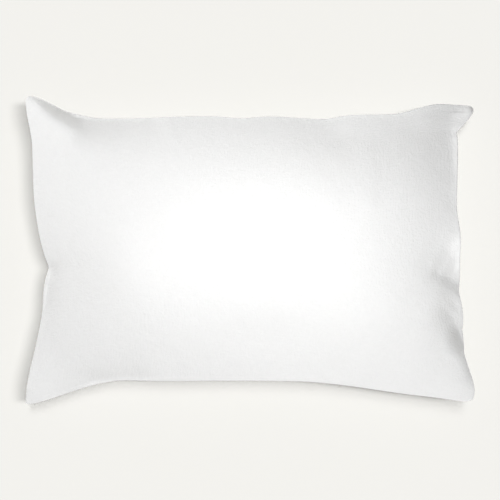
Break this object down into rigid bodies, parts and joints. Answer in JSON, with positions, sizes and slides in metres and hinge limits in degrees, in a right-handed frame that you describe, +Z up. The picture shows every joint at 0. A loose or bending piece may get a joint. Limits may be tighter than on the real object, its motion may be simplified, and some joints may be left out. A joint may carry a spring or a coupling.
{
  "type": "pillow protector",
  "caption": "Plain white woven pillow protector on its filled bed pillow, lying on its back: crowned front, drawn-in edges between uneven soft ears, knife-edge seam, back flat where it rests.",
  "frame": {"origin": "on the resting surface, under the middle of the outline", "axes": "+X along the long side, +Y across it towards the head edge, +Z up, out of the crowned front"},
  "size_m": [0.7304, 0.4994, 0.1466],
  "materials": {
    "cloth": "matte plain-woven white cotton, bleached, with a fine grain"
  },
  "bodies": {
    "root": {"pillow_protector": "cloth"}
  },
  "joints": []
}
